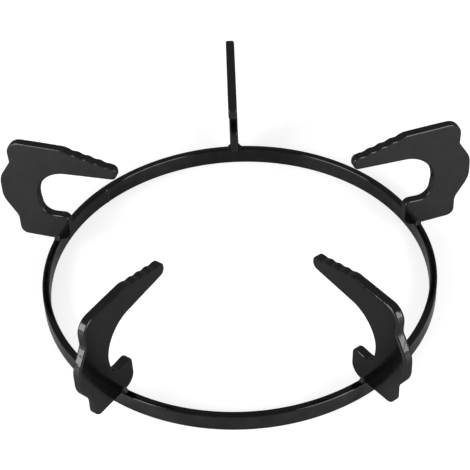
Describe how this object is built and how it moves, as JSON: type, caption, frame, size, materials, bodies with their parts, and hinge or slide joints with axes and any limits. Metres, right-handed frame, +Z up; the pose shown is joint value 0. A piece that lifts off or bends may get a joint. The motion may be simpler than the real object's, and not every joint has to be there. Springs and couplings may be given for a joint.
{
  "type": "wok ring",
  "caption": "Black enamelled wok ring for a gas hob: a hoop of flat bar carrying upright hooked plate arms whose toothed fingers reach in to seat a round-bottomed wok.",
  "frame": {"origin": "centre of the hoop, in the plane that its lower edge rests on", "axes": "+Z up along the hoop's axis, +Y along the back arm, +X to the right of it; the part is symmetrical about the YZ plane"},
  "size_m": [0.265, 0.252, 0.0769],
  "materials": {
    "enamelled_bar": "semi-gloss black enamel",
    "enamelled_plate": "semi-gloss black enamel with a slight orange peel",
    "enamelled_weld": "gloss black enamel over the weld"
  },
  "bodies": {
    "root": {"ring": "enamelled_bar", "arm_back": "enamelled_plate", "arm_left": "enamelled_plate", "arm_front_left": "enamelled_plate", "arm_front_right": "enamelled_plate", "arm_right": "enamelled_plate", "weld_back": "enamelled_weld", "weld_left": "enamelled_weld", "weld_front_left": "enamelled_weld", "weld_front_right": "enamelled_weld", "weld_right": "enamelled_weld"}
  },
  "joints": []
}
